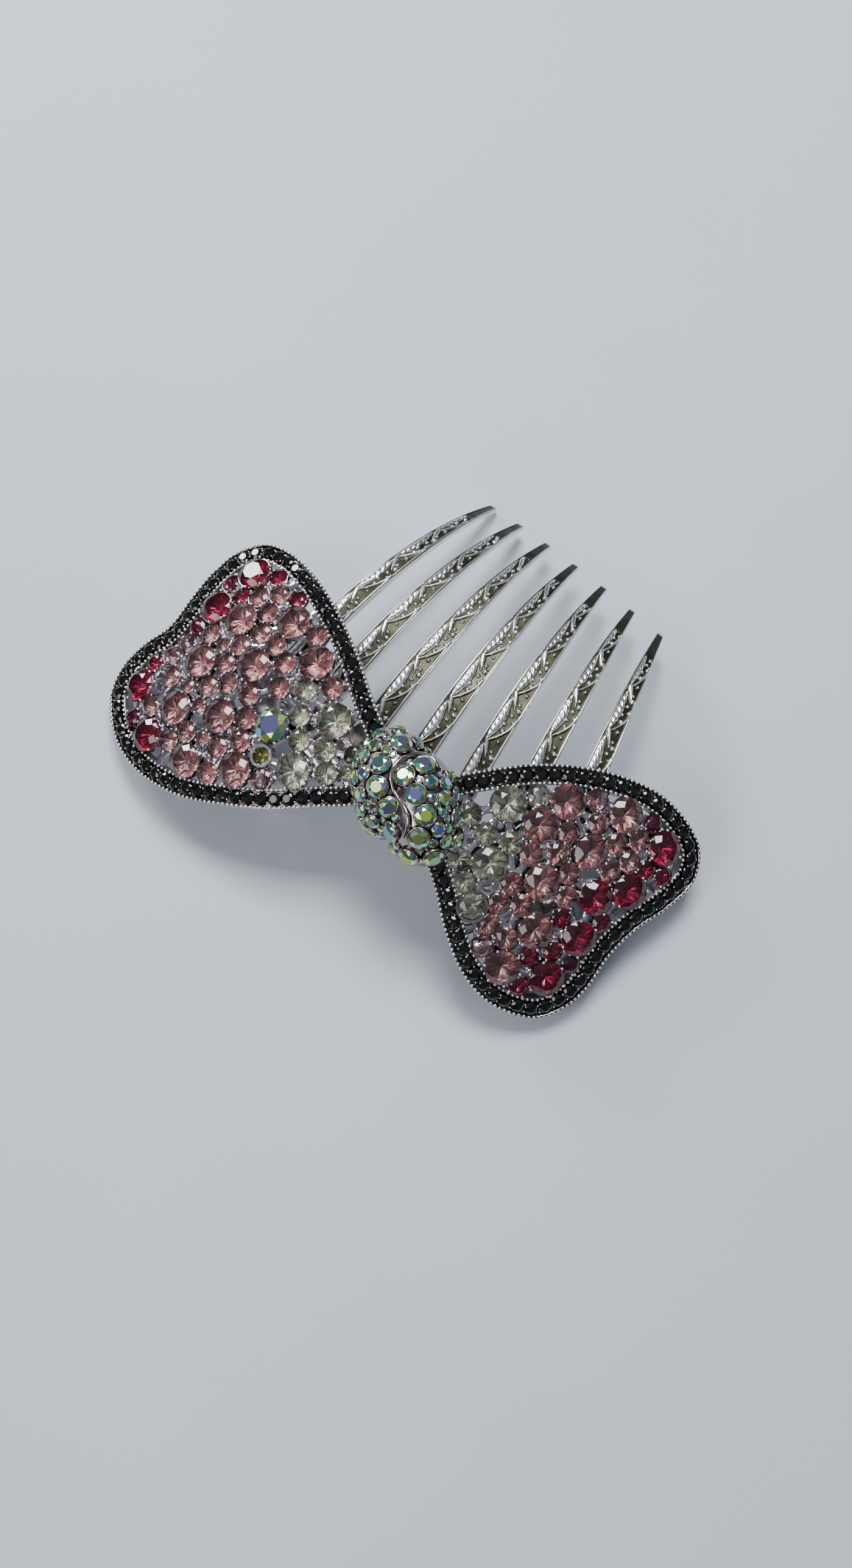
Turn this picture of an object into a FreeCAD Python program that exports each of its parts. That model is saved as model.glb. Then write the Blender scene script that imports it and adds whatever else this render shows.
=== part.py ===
import FreeCAD, Part
import math
import os
from FreeCAD import Placement, Rotation, Vector

# Hair comb with a jewelled bow.  Millimetres.
# The bow is drawn in its own frame: x along the bow, y towards the tooth tips,
# z = 0 on the crown of the round (spherical) surface that the whole bow follows.
# At the end every piece is tilted together and set down on the table, +Z up.

SIZES = {
    "dome_radius": 75.0,
    "bow_tilt": 12.0,
    "bow_roll": 2.4,
    "rim_width": 2.7,
    "rim_height": 0.9,
    "rim_depth": 1.1,
    "rail_width": 0.4,
    "groove_floor": 0.15,
    "lattice_thick": 1.0,
    "web_gap": 0.35,
    "hole_max": 2.2,
    "hole_min": 0.55,
    "large_radius": 2.35,
    "small_radius": 1.5,
    "ruby_radius": 1.32,
    "olive_radius": 1.15,
    "framed_radius": 1.7,
    "rim_stone_radius": 0.93,
    "rim_stone_pitch": 1.93,
    "stone_gap": 0.06,
    "bezel_wall": 0.35,
    "bezel_height": 1.0,
    "knot_length": 7.6,
    "knot_width": 5.0,
    "knot_rise": 6.2,
    "knot_hollow": 0.74,
    "lip_radius": 0.34,
    "comb_arch_radius": 42.5,
    "comb_cross_radius": 90.0,
    "comb_crest": 13.6,
    "comb_pitch": 4.2,
    "comb_drop": 3.0,
    "comb_thick": 1.6,
    "comb_taper": 0.9,
    "comb_shift": 1.2,
    "spine_length": 52.0,
    "spine_back": -3.0,
    "spine_front": 4.5,
    "tooth_root_span": 45.4,
    "tooth_tip_span": 31.3,
    "tooth_tip": 42.4,
    "tooth_tip_step": -0.62,
    "tooth_bow": -0.25,
    "tooth_belly": 0.3,
    "tooth_root_width": 3.3,
    "tooth_tip_width": 1.0,
    "pad_radius": 2.2,
    "pad_back": -0.6,
}
TOOTH_COUNT = 7

# Plan outline of each wing, from the neck round the far end and back.
RIGHT_OUTLINE = [
    (5.6, 2.2), (7.0, 5.0), (9.9, 8.2), (14.3, 12.3), (19.4, 15.7), (25.2, 18.2), (30.5, 19.1),
    (35.6, 18.1), (38.9, 16.0), (40.5, 12.0), (39.6, 7.0), (37.9, 2.6), (36.9, -2.5), (37.0, -7.5),
    (36.2, -11.2), (33.9, -14.8), (30.2, -16.5), (26.0, -16.8), (21.5, -15.3), (17.0, -12.2),
    (12.8, -8.4), (9.4, -6.0), (6.0, -4.4),
]
LEFT_OUTLINE = [
    (1.0, -2.8), (-1.0, -6.0), (-5.4, -9.4), (-10.0, -12.9), (-15.5, -16.0), (-21.5, -18.7),
    (-27.5, -19.7), (-33.0, -19.1), (-37.7, -16.7), (-40.8, -13.2), (-41.6, -9.0), (-40.6, -4.8),
    (-38.6, -0.6), (-38.5, 4.0), (-38.3, 8.5), (-37.0, 13.3), (-33.8, 16.6), (-29.0, 17.3),
    (-23.6, 16.2), (-18.0, 13.9), (-12.5, 10.9), (-7.5, 7.4), (-3.6, 5.0),
    (-0.2, 3.0),
]

# Stone centres (x, y) on each wing, listed by colour and size.
LEFT_STONES = {
    "clear_large": [(-9.5, 1.5), (-10, -7)],
    "clear_small": [(-15.5, 3), (-14, -0.5), (-12, -3), (-8.5, -2), (-6.5, -4.5)],
    "aurora_large": [(-16, -3.5)],
    "olive_small": [(-15, -7.5)],
    "peach_large": [
        (-23.5, 2), (-16.5, 6.5), (-23.5, 10.5), (-30.5, 6), (-30, -2), (-23, -6.5), (-29, -9.5),
        (-17, -11), (-24, -14),
    ],
    "peach_small": [
        (-27.5, 13), (-29.5, 10), (-27.5, 8), (-25.5, 6), (-28.5, 4), (-22.5, 7), (-20, 9.5),
        (-35.5, 0), (-33, 2), (-35, -3.5), (-27.5, 0.5), (-20.5, 4.5), (-27.5, -4), (-25, -2.5),
        (-21.5, -2), (-18.5, 1), (-12.5, 5), (-33, -6), (-20, -5), (-33, -12), (-26, -11.5), (-21, -10),
        (-18.5, -8), (-30, -14.5), (-20, -14.5), (-13, -10.5),
    ],
    "red_large": [(-35, 6), (-35.5, -9.5), (-31, 12), (-31, -15)],
    "red_small": [
        (-35.5, 11), (-34, 9), (-37.5, 3), (-37, -5.5), (-34.5, -14), (-29.5, 14), (-25, 13.5),
    ],
}
RIGHT_STONES = {
    "clear_large": [(14.5, 6), (18, -2)],
    "clear_small": [(11.5, 2), (17.5, 9), (15, 0.5), (18, 1.5), (14, -3.5), (15.5, -6)],
    "clear_framed": [(19.5, -7.5)],
    "peach_large": [
        (21.5, 11), (20, 6), (28.5, 14.5), (28, 6.5), (25, 0.5), (28, -5.5), (25.5, -12.5),
    ],
    "peach_small": [
        (25, 13.5), (26.5, 11), (24.5, 8.5), (30, 10.5), (32.5, 13), (22, 2), (24.5, 5), (33, 9),
        (22.5, -2), (29, 2.5), (32.5, 6), (23, -6), (25, -4), (29.5, -1), (24, -8.5), (21.5, -11.5),
        (27, -9.5),
    ],
    "red_large": [(35.5, 13.5), (35, 6), (32, 1.5), (33.5, -2.5), (32, -10.5)],
    "red_small": [
        (32.5, 16), (35.5, 10), (38, 9.5), (35.5, 1), (31.5, -3), (32, -6.5), (34.5, -6.5), (30, -9.5),
        (29, -13.5),
    ],
}

# Stone centres (x, y) on the two folds of the knot.
KNOT_STONES = {
    "large": [
        (0, 3.5), (-0.5, 0.5), (1, -2), (3, -3), (5.5, -4), (2.5, 1), (3.7, 3), (5.5, 0), (7.5, -1.5),
        (10.5, 0.5), (8.5, -4), (12, -2), (11, -5), (8.5, -6.5),
    ],
    "medium": [
        (-3.5, 3.5), (-1.5, 5), (1, 5), (-2.5, 2), (-3, 0.2), (-2.5, -2.5), (-1.5, -1), (-0.5, -4),
        (2, -5.5), (4, -6.5), (7, 3), (5.5, 2), (8, 1.5), (9.8, -2), (6.5, -7), (-4, 1.5), (4.2, -5),
    ],
    "small": [
        (2.3, 5), (-1, -5), (0.5, -4.4), (9, 0), (10.2, -3.7), (2.2, 2.6), (-1, 2), (7, 0.7), (6.6, -5.7),
        (0.4, -5.6),
    ],
}
KNOT_RADII = {"large": 1.36, "medium": 0.95, "small": 0.6}
# The raised lip of the front fold, from the back of the knot to its front.
LIP_LINE = [(5.4, 4.1), (3.2, 4.7), (1.2, 3.2), (0.9, 0.6), (2.6, -1.3), (5.2, -2.3), (7, -5)]

NECK_MIDDLE = 3.2
NECK_CLEAR = 5.4
SEAT_SHARE = 0.7

doc = FreeCAD.newDocument("hair_comb")
sheet = doc.addObject("Spreadsheet::Sheet", "Sizes")
for row, (alias, value) in enumerate(SIZES.items(), start=1):
    sheet.set("A%d" % row, alias)
    sheet.set("B%d" % row, str(value))
    sheet.setAlias("B%d" % row, alias)
doc.recompute()


def size(alias):
    return float(getattr(sheet, alias))


def bind(obj, **formulas):
    """Ties properties of obj to formulas of sheet cells, written with plain alias names."""
    for path, formula in formulas.items():
        words = formula.split()
        cells = ["Sizes." + w if w in SIZES else w for w in words]
        obj.setExpression(path.replace("__", "."), " ".join(cells))
    return obj


def boolean(kind, label, base, tool):
    obj = doc.addObject("Part::" + kind, label)
    obj.Label = label
    obj.Base = base
    obj.Tool = tool
    return obj


def shaped(label, shape):
    obj = doc.addObject("Part::Feature", label)
    obj.Label = label
    obj.Shape = shape
    return obj


# ---- The round surface that the bow follows -------------------------------------------

SPHERE_TURN = Rotation(Vector(0, 1, 0), 90).multiply(Rotation(Vector(1, 0, 0), -90))


def dome(label, offset):
    """A ball whose top is the bow's surface raised by offset; its seam and poles lie away from the bow."""
    ball = doc.addObject("Part::Sphere", label)
    ball.Label = label
    ball.Placement = Placement(Vector(0, 0, -size("dome_radius")), SPHERE_TURN)
    bind(ball, Radius="dome_radius + ( " + offset + " )", Placement__Base__z="- dome_radius")
    return ball


def layer(label, low, high):
    """The curved sheet between two offsets from the bow's surface."""
    return boolean("Cut", label, dome(label + "_outer", high), dome(label + "_inner", low))


def on_dome(x, y, lift=0.0):
    radius = size("dome_radius")
    height = math.sqrt(radius * radius - x * x - y * y)
    normal = Vector(x, y, height)
    normal.normalize()
    return Vector(x, y, height - radius) + normal * lift, normal


def bow_turn():
    """How the finished bow leans on the table, while the comb's tips stay level."""
    roll = Rotation(Vector(0, 1, 0), size("bow_roll"))
    return roll.multiply(Rotation(Vector(1, 0, 0), size("bow_tilt")))


# ---- Wings ------------------------------------------------------------------------------


def tangent_arc(start, end, direction):
    """The arc from start to end that leaves start along direction."""
    chord = end - start
    side = Vector(-direction.y, direction.x, 0)
    bend = 2 * side.dot(chord) / chord.dot(chord)
    if abs(bend) < 1e-6:
        return Part.LineSegment(start, end)
    centre = start + side / bend
    outward = (start + end) * 0.5 - centre
    outward.normalize()
    return Part.Arc(start, centre + outward * abs(1 / bend), end)


def arc_chain(outline):
    """Closed smooth chain of arcs through the outline's points, two arcs to each step."""
    points = [Vector(x, y, 0) for x, y in outline]
    tangents = []
    for i, here in enumerate(points):
        back = here - points[i - 1]
        ahead = points[(i + 1) % len(points)] - here
        tangent = back * (ahead.Length / back.Length) + ahead * (back.Length / ahead.Length)
        tangent.normalize()
        tangents.append(tangent)
    arcs = []
    for i, start in enumerate(points):
        end = points[(i + 1) % len(points)]
        leaving, arriving = tangents[i], tangents[(i + 1) % len(points)]
        step = end - start
        turning = 2 * (1 - leaving.dot(arriving))
        along = 2 * step.dot(leaving + arriving)
        if turning > 1e-9:
            reach = (math.sqrt(along * along + 4 * turning * step.dot(step)) - along) / (2 * turning)
        else:
            reach = step.dot(step) / along
        joint = (start + end + (leaving - arriving) * reach) * 0.5
        arcs.append(tangent_arc(start, joint, leaving))
        arcs.append(tangent_arc(end, joint, arriving * -1))
    return arcs


def outline_sketch(label, outline):
    sketch = doc.addObject("Sketcher::SketchObject", label)
    sketch.addGeometry(arc_chain(outline), False)
    return sketch


def inset(label, outline, formula):
    edge = doc.addObject("Part::Offset2D", label)
    edge.Source = outline
    edge.Join = 0
    edge.Fill = False
    bind(edge, Value="- ( " + formula + " )")
    return edge


def column(label, outline):
    """An upright column with the outline's plan, tall enough to pass through the whole dome."""
    post = doc.addObject("Part::Extrusion", label)
    post.Base = outline
    post.DirMode = "Custom"
    post.Dir = Vector(0, 0, 1)
    post.Solid = True
    bind(post, LengthFwd="dome_radius / 2", LengthRev="dome_radius / 2")
    return post


def seated(stones, edge):
    """Nudges stone centres until no two touch and none touches the rim's inner edge."""
    places = [Vector(x, y, 0) for x, y, radius in stones]
    radii = [radius for x, y, radius in stones]
    clear = size("stone_gap")
    for _ in range(260):
        for i in range(len(places)):
            for j in range(i):
                a = on_dome(places[i].x, places[i].y, 0.8)[0]
                b = on_dome(places[j].x, places[j].y, 0.8)[0]
                short = radii[i] + radii[j] + clear - (a - b).Length
                if short > 0:
                    push = places[i] - places[j]
                    push.normalize()
                    places[i] += push * (short * 0.5)
                    places[j] -= push * (short * 0.5)
        for i, place in enumerate(places):
            near = min(edge, key=lambda e: (e[0] - place).Length)
            inside = (place - near[0]).dot(near[1])
            short = radii[i] + clear - inside
            if short > 0:
                places[i] = place + near[1] * short
    return places


def edge_samples(face):
    """Points along the edge of a flat face, each with the direction that points into the face."""
    wire = face.OuterWire
    points = wire.discretize(Number=240)
    centre = face.CenterOfMass
    samples = []
    for here, after in zip(points, points[1:]):
        along = after - here
        along.normalize()
        inward = Vector(-along.y, along.x, 0)
        samples.append((here, inward))
    if (points[0] - centre).cross(points[1] - points[0]).z < 0:
        samples = [(p, inward * -1) for p, inward in samples]
    return samples


def gem_profile(radius, seat=0.62, table=0.56, girdle=0.36, rise=0.74):
    """Half section of a cut stone: flat seat, girdle, sloping crown and flat table."""
    outline = [
        (0, 0), (seat * radius, 0), (radius, girdle * radius), (radius, (girdle + 0.1) * radius),
        (table * radius, rise * radius), (0, rise * radius),
    ]
    return [Vector(x, 0, z) for x, z in outline]


def gem(radius):
    points = gem_profile(radius)
    section = Part.Face(Part.makePolygon(points + points[:1]))
    return section.revolve(Vector(0, 0, 0), Vector(0, 0, 1), 360)


def placed(shape, point, normal):
    piece = shape.copy()
    piece.Placement = Placement(point, Rotation(Vector(0, 0, 1), normal))
    return piece


def stone_size(kind):
    special = {"olive_small": "olive_radius", "clear_framed": "framed_radius", "red_small": "ruby_radius"}
    if kind in special:
        return size(special[kind])
    return size("large_radius") if kind.endswith("large") else size("small_radius")


def openings_between(places, radii, face):
    """Round openings in the gaps between stones, found on a grid, widest first."""
    wall = size("web_gap")
    box = face.BoundBox
    edge = edge_samples(face)
    step = 0.6
    spots = []
    for i in range(int(box.XLength / step)):
        for j in range(int(box.YLength / step)):
            spot = Vector(box.XMin + i * step, box.YMin + j * step, 0)
            near = min(edge, key=lambda e: (e[0] - spot).Length)
            room = (spot - near[0]).dot(near[1]) - wall
            for place, radius in zip(places, radii):
                room = min(room, (spot - place).Length - SEAT_SHARE * radius)
            if room > size("hole_min"):
                spots.append((room, spot))
    spots.sort(key=lambda s: -s[0])
    holes = []
    for room, spot in spots:
        room = min(room, size("hole_max"))
        if all((spot - other).Length > room + r + wall for r, other in holes):
            holes.append((room, spot))
    return holes


STAND_OFF = 0.04


def build_wing(side, points, stones):
    outline = outline_sketch(side + "_outline", points)
    inner = inset(side + "_inner_edge", outline, "rim_width")
    plan = column(side + "_plan", outline)
    window = column(side + "_window", inner)
    band = boolean("Cut", side + "_band", plan, window)
    rim_layer = layer(side + "_rim_layer", "- rim_depth", "rim_height")
    rim = boolean("Common", side + "_rim", band, rim_layer)
    trench_out = column(side + "_trench_out", inset(side + "_trench_edge", outline, "rail_width"))
    trench_in = column(side + "_trench_in", inset(side + "_trench_foot", outline, "rim_width - rail_width"))
    trench = boolean("Cut", side + "_trench", trench_out, trench_in)
    groove_layer = layer(side + "_groove_layer", "groove_floor", "rim_height + 1")
    groove = boolean("Common", side + "_groove", trench, groove_layer)
    channel = boolean("Cut", side + "_channel", rim, groove)
    doc.recompute()

    edge_face = Part.Face(inner.Shape.Wires[0])
    edge = edge_samples(edge_face)
    listed = [(x, y, kind) for kind, spots in stones.items() for x, y in spots]
    radii = [stone_size(kind) for x, y, kind in listed]
    places = seated([(x, y, r) for (x, y, kind), r in zip(listed, radii)], edge)

    sheet_edge = inset(side + "_lattice_edge", outline, "rim_width - 0.1")
    lattice_layer = layer(side + "_lattice_layer", "0 - lattice_thick", "0")
    plate = boolean("Common", side + "_plate", column(side + "_lattice_plan", sheet_edge), lattice_layer)
    holes = openings_between(places, radii, edge_face)
    cutters = [
        Part.makeCylinder(room, size("dome_radius"), Vector(spot.x, spot.y, -size("dome_radius") / 2))
        for room, spot in holes
    ]
    punch = shaped(side + "_openings", Part.makeCompound(cutters))
    lattice = boolean("Cut", side + "_lattice", plate, punch)
    wing = boolean("Fuse", side + "_wing", channel, lattice)

    nodes = [wing]
    for kind in stones:
        group = [
            placed(gem(r), *on_dome(p.x, p.y, STAND_OFF))
            for p, r, (x, y, k) in zip(places, radii, listed) if k == kind
        ]
        nodes.append(shaped(side + "_" + kind + "_stones", Part.makeCompound(group)))
    return nodes, outline, list(zip(places, radii, [k for x, y, k in listed]))


def build_bezel(label, place, radius):
    """A plain ring that holds one stone by its girdle."""
    wall = size("bezel_wall")
    inner = radius + 0.05
    ring = Part.makeCylinder(inner + wall, size("bezel_height"))
    ring = ring.cut(Part.makeCylinder(inner, size("bezel_height")))
    return shaped(label, placed(ring, *on_dome(place.x, place.y, STAND_OFF)))


def build_rim_stones(side, outline):
    """A row of round stones in the rim's groove, evenly spaced along the curved surface."""
    middle = inset(side + "_stone_line", outline, "rim_width / 2")
    doc.recompute()
    flat = middle.Shape.Wires[0].discretize(Number=900)
    line = [on_dome(p.x, p.y, size("groove_floor") + STAND_OFF) for p in flat]
    stone = gem(size("rim_stone_radius"))
    row = []
    travelled = 0.0
    due = 0.0
    for (here, normal), (before, _) in zip(line[1:], line):
        if abs(here.x - NECK_MIDDLE) < NECK_CLEAR:
            travelled = 0.0
            due = 0.0
            continue
        travelled += (here - before).Length
        if travelled >= due:
            row.append(placed(stone, here, normal))
            due = travelled + size("rim_stone_pitch")
    return shaped(side + "_rim_stones", Part.makeCompound(row))


# ---- Knot -------------------------------------------------------------------------------


def fold(label, x, y, turn, scale, sink, shrink="1"):
    """One egg-shaped fold of the knot, or with a shrink factor the hollow inside it."""
    egg = doc.addObject("Part::Ellipsoid", label)
    egg.Label = label
    bind(egg, Radius1="knot_rise * %g * %s" % (scale[2], shrink))
    bind(egg, Radius2="knot_length * %g * %s" % (scale[0], shrink))
    bind(egg, Radius3="knot_width * %g * %s" % (scale[1], shrink))
    egg.Placement = Placement(Vector(x, y, sink), Rotation(Vector(0, 0, 1), turn))
    return egg


FOLDS = [
    ("back_fold", 0.8, -0.5, -60.0, (0.92, 0.98, 0.86), -0.6),
    ("front_fold", 6.0, -1.0, -48.0, (1.0, 1.0, 1.0), -0.6),
]


def build_lip():
    """A round wire laid along the raised edge of the front fold."""
    spine = Part.BSplineCurve()
    spine.interpolate([on_knot(x, y, 0.15)[0] for x, y in LIP_LINE])
    start = spine.value(spine.FirstParameter)
    along = spine.tangent(spine.FirstParameter)[0]
    ring = Part.Wire(Part.makeCircle(size("lip_radius"), start, along))
    wire = Part.Wire(spine.toShape()).makePipeShell([ring], True, False)
    return shaped("knot_lip_wire", wire)


def build_knot(plans):
    folds = [fold(*spec) for spec in FOLDS]
    hollows = [fold(spec[0] + "_hollow", *spec[1:], shrink="knot_hollow") for spec in FOLDS]
    body = boolean("Fuse", "knot_body", *folds)
    shell = boolean("Cut", "knot_shell", body, boolean("Fuse", "knot_hollow", *hollows))
    lipped = boolean("Fuse", "knot_with_lip", shell, build_lip())
    piece = boolean("Cut", "knot_above_spine", lipped, dome("knot_floor", "0 - rim_depth + 0.1"))
    for plan in plans:
        side = plan.Label
        saddle = boolean("Common", side + "_saddle", plan, dome(side + "_saddle_top", "rim_height + 0.03"))
        piece = boolean("Cut", "knot_over_" + side, piece, saddle)
    piece.Label = "knot"
    return piece


def on_knot(x, y, lift):
    """Point and outward normal of the knot above (x, y), found from the folds' own formulas."""
    best = None
    for label, cx, cy, turn, scale, sink in FOLDS:
        a = size("knot_length") * scale[0]
        b = size("knot_width") * scale[1]
        c = size("knot_rise") * scale[2]
        spin = math.radians(turn)
        u = (x - cx) * math.cos(spin) + (y - cy) * math.sin(spin)
        v = -(x - cx) * math.sin(spin) + (y - cy) * math.cos(spin)
        left = 1 - (u / a) ** 2 - (v / b) ** 2
        if left <= 0.02:
            continue
        w = c * math.sqrt(left)
        local = Vector(u / a ** 2, v / b ** 2, w / c ** 2)
        normal = Rotation(Vector(0, 0, 1), turn).multVec(local)
        normal.normalize()
        point = Vector(x, y, w + sink) + normal * lift
        if best is None or point.z > best[0].z:
            best = (point, normal)
    return best


def build_knot_stones():
    """Stones of three sizes over both folds, kept clear of each other and of the lip."""
    places = []
    for kind, spots in KNOT_STONES.items():
        for x, y in spots:
            seat = on_knot(x, y, 0.05)
            if seat is not None:
                places.append([seat[0], seat[1], KNOT_RADII[kind], kind])
    lip = []
    for (x0, y0), (x1, y1) in zip(LIP_LINE, LIP_LINE[1:]):
        for step in range(4):
            share = step / 4
            lip.append(on_knot(x0 + (x1 - x0) * share, y0 + (y1 - y0) * share, 0.15)[0])
    for _ in range(200):
        for i, item in enumerate(places):
            for other in places[:i]:
                short = item[2] + other[2] + size("stone_gap") - (item[0] - other[0]).Length
                if short > 0:
                    push = item[0] - other[0]
                    push.normalize()
                    reseat(item, push * (short * 0.5))
                    reseat(other, push * (short * -0.5))
            near = min(lip, key=lambda point: (item[0] - point).Length)
            short = item[2] + size("lip_radius") + size("stone_gap") - (item[0] - near).Length
            if short > 0:
                push = item[0] - near
                push.normalize()
                reseat(item, push * short)
    nodes = []
    for kind in KNOT_STONES:
        row = [placed(gem(r), p, n) for p, n, r, k in places if k == kind]
        nodes.append(shaped("knot_aurora_" + kind, Part.makeCompound(row)))
    return nodes


def reseat(item, shift):
    """Slides one stone over the knot, unless that would take it off the edge."""
    moved = item[0] + shift
    seat = on_knot(moved.x, moved.y, 0.05)
    if seat is not None:
        item[0], item[1] = seat


# ---- Comb -------------------------------------------------------------------------------


def tooth_side(start, end, bulge):
    return Part.Arc(start, (start + end) * 0.5 + Vector(bulge, 0, 0), end)


def comb_plan():
    """Outline of the spine and the tapering teeth, which lean in towards each other."""
    half = size("spine_length") / 2
    back, front = size("spine_back"), size("spine_front")
    root_w, tip_w = size("tooth_root_width") / 2, size("tooth_tip_width") / 2
    bow, belly = size("tooth_bow"), size("tooth_belly")
    step_root = size("tooth_root_span") / (TOOTH_COUNT - 1)
    step_tip = size("tooth_tip_span") / (TOOTH_COUNT - 1)
    middle = (TOOTH_COUNT - 1) / 2
    shift = size("comb_shift")
    edges = []
    previous = Vector(shift - half + 2, front, 0)
    first = previous
    for i in range(TOOTH_COUNT):
        root = shift + step_root * (i - middle)
        tip = shift + step_tip * (i - middle)
        tip_y = size("tooth_tip") + size("tooth_tip_step") * (i - middle)
        left_root = Vector(root - root_w, front, 0)
        left_tip = Vector(tip - tip_w, tip_y, 0)
        crown = Vector(tip, tip_y + tip_w * 0.6, 0)
        right_tip = Vector(tip + tip_w, tip_y, 0)
        right_root = Vector(root + root_w, front, 0)
        if i == 0:
            edges.append(Part.LineSegment(previous, left_root))
        else:
            sag = Vector((previous.x + left_root.x) / 2, front - (left_root.x - previous.x) * 0.45, 0)
            edges.append(Part.Arc(previous, sag, left_root))
        edges.append(tooth_side(left_root, left_tip, bow - belly))
        edges.append(Part.Arc(left_tip, crown, right_tip))
        edges.append(tooth_side(right_tip, right_root, bow + belly))
        previous = right_root
    corner = Vector(shift + half - 2, front, 0)
    edges.append(Part.LineSegment(previous, corner))
    low_right = Vector(shift + half - 2, back, 0)
    low_left = Vector(shift - half + 2, back, 0)
    edges.append(Part.Arc(corner, Vector(shift + half, (front + back) / 2, 0), low_right))
    edges.append(Part.LineSegment(low_right, low_left))
    edges.append(Part.Arc(low_left, Vector(shift - half, (front + back) / 2, 0), first))
    return edges


def build_comb():
    body = doc.addObject("PartDesign::Body", "comb_blank")
    plane = [f for f in body.Origin.OriginFeatures if f.Role == "XY_Plane"][0]
    sketch = body.newObject("Sketcher::SketchObject", "comb_outline")
    sketch.AttachmentSupport = [(plane, "")]
    sketch.MapMode = "FlatFace"
    sketch.addGeometry(comb_plan(), False)
    pad = body.newObject("PartDesign::Pad", "comb_pad")
    pad.Profile = sketch
    pad.Midplane = True
    bind(pad, Length="dome_radius")
    level = bow_turn().inverted().multiply(Rotation(Vector(1, 0, 0), size("comb_pitch")))
    body.Placement = Placement(Vector(0, 0, 0), level)

    rings = []
    for label, thinner, shift in (("comb_top", "0", 0.0), ("comb_under", "comb_thick", size("comb_taper"))):
        ring = doc.addObject("Part::Torus", label)
        bind(ring, Radius1="comb_cross_radius - comb_arch_radius", Radius2="comb_arch_radius - " + thinner)
        depth = size("comb_cross_radius") + size("comb_drop")
        centre = level.multVec(Vector(size("comb_shift"), size("comb_crest") + shift, -depth))
        ring.Placement = Placement(centre, level.multiply(Rotation(Vector(1, 0, 0), 90)))
        rings.append(ring)
    skin = boolean("Cut", "comb_skin", rings[0], rings[1])
    return boolean("Common", "comb", body, skin)


def build_pads(comb):
    """Solder joints that fill the gap between the comb's spine and the back of the bow."""
    pads = []
    for label, x in (("left_solder", -1), ("centre_solder", 0), ("right_solder", 1)):
        post = doc.addObject("Part::Cylinder", label + "_post")
        bind(post, Radius="pad_radius", Height="dome_radius")
        reach = size("comb_shift") + x * 2 * size("tooth_root_span") / (TOOTH_COUNT - 1)
        post.Placement = Placement(Vector(reach, size("pad_back"), -size("dome_radius") / 2), Rotation())
        under = boolean("Common", label + "_under", post, dome(label + "_ceiling", "0 - rim_depth"))
        top = boolean("Cut", label + "_cut", under, comb)
        pads.append(top)
    return pads


def keep_upper(solid_shape):
    """The highest of a shape's separate solids."""
    return max(solid_shape.Solids, key=lambda s: s.CenterOfMass.z)


# ---- Assembly ---------------------------------------------------------------------------

left_nodes, left_outline, left_seats = build_wing("left", LEFT_OUTLINE, LEFT_STONES)
right_nodes, right_outline, right_seats = build_wing("right", RIGHT_OUTLINE, RIGHT_STONES)
nodes = left_nodes + right_nodes
nodes.append(build_rim_stones("left", left_outline))
nodes.append(build_rim_stones("right", right_outline))
for seats in (left_seats, right_seats):
    for place, radius, kind in seats:
        if kind in ("olive_small", "clear_framed"):
            nodes.append(build_bezel(kind.split("_")[0] + "_bezel", place, radius))

plans = [doc.getObject("left_plan"), doc.getObject("right_plan")]
nodes.append(build_knot(plans))
nodes += build_knot_stones()

comb = build_comb()
nodes.append(comb)
doc.recompute()
for cut in build_pads(comb):
    doc.recompute()
    nodes.append(shaped(cut.Label.replace("_cut", ""), keep_upper(cut.Shape)))
doc.recompute()

for obj in doc.Objects:
    if "Invalid" in obj.State or "Error" in obj.State:
        raise RuntimeError(obj.Label + " failed: " + str(obj.State))

tilt = Placement(Vector(0, 0, 0), bow_turn())
for node in nodes:
    node.Placement = tilt.multiply(node.Placement)
whole = Part.makeCompound([node.Shape for node in nodes]).optimalBoundingBox(False)
rest = Placement(Vector(-whole.Center.x, -whole.Center.y, -whole.ZMin), Rotation())
os.makedirs("parts", exist_ok=True)
for node in nodes:
    node.Placement = rest.multiply(node.Placement)
    if node.Shape.isNull() or not node.Shape.isValid():
        raise RuntimeError(node.Label + " has no valid shape")
    node.Shape.exportStep("parts/" + node.Label + ".step")
    box = node.Shape.optimalBoundingBox(False)
    print("%-28s %3d solids %9.2f mm3  z %.2f..%.2f" % (
        node.Label, len(node.Shape.Solids), node.Shape.Volume, box.ZMin, box.ZMax))
print("whole", [round(v, 2) for v in (whole.XLength, whole.YLength, whole.ZLength)])
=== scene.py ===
"""Looks for the jewelled hair comb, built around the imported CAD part.  Working lengths are millimetres."""

import math
import random

import bpy
import numpy as np
from mathutils import Matrix, Vector


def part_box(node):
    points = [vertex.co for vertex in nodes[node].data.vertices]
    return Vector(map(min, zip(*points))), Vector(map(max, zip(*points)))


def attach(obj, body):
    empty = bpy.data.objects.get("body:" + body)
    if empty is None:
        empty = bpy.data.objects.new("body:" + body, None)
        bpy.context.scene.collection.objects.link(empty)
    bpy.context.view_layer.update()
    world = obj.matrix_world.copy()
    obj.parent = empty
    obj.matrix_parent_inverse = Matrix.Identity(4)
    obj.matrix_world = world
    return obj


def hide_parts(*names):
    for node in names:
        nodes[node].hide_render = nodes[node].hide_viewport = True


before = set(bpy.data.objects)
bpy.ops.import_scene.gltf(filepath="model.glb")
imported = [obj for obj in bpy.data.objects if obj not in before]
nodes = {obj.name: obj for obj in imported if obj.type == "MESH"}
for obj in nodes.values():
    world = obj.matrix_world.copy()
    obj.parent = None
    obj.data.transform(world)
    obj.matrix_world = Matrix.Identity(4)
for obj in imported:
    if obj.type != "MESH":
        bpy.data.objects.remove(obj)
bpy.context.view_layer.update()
random.seed(7)

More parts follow.
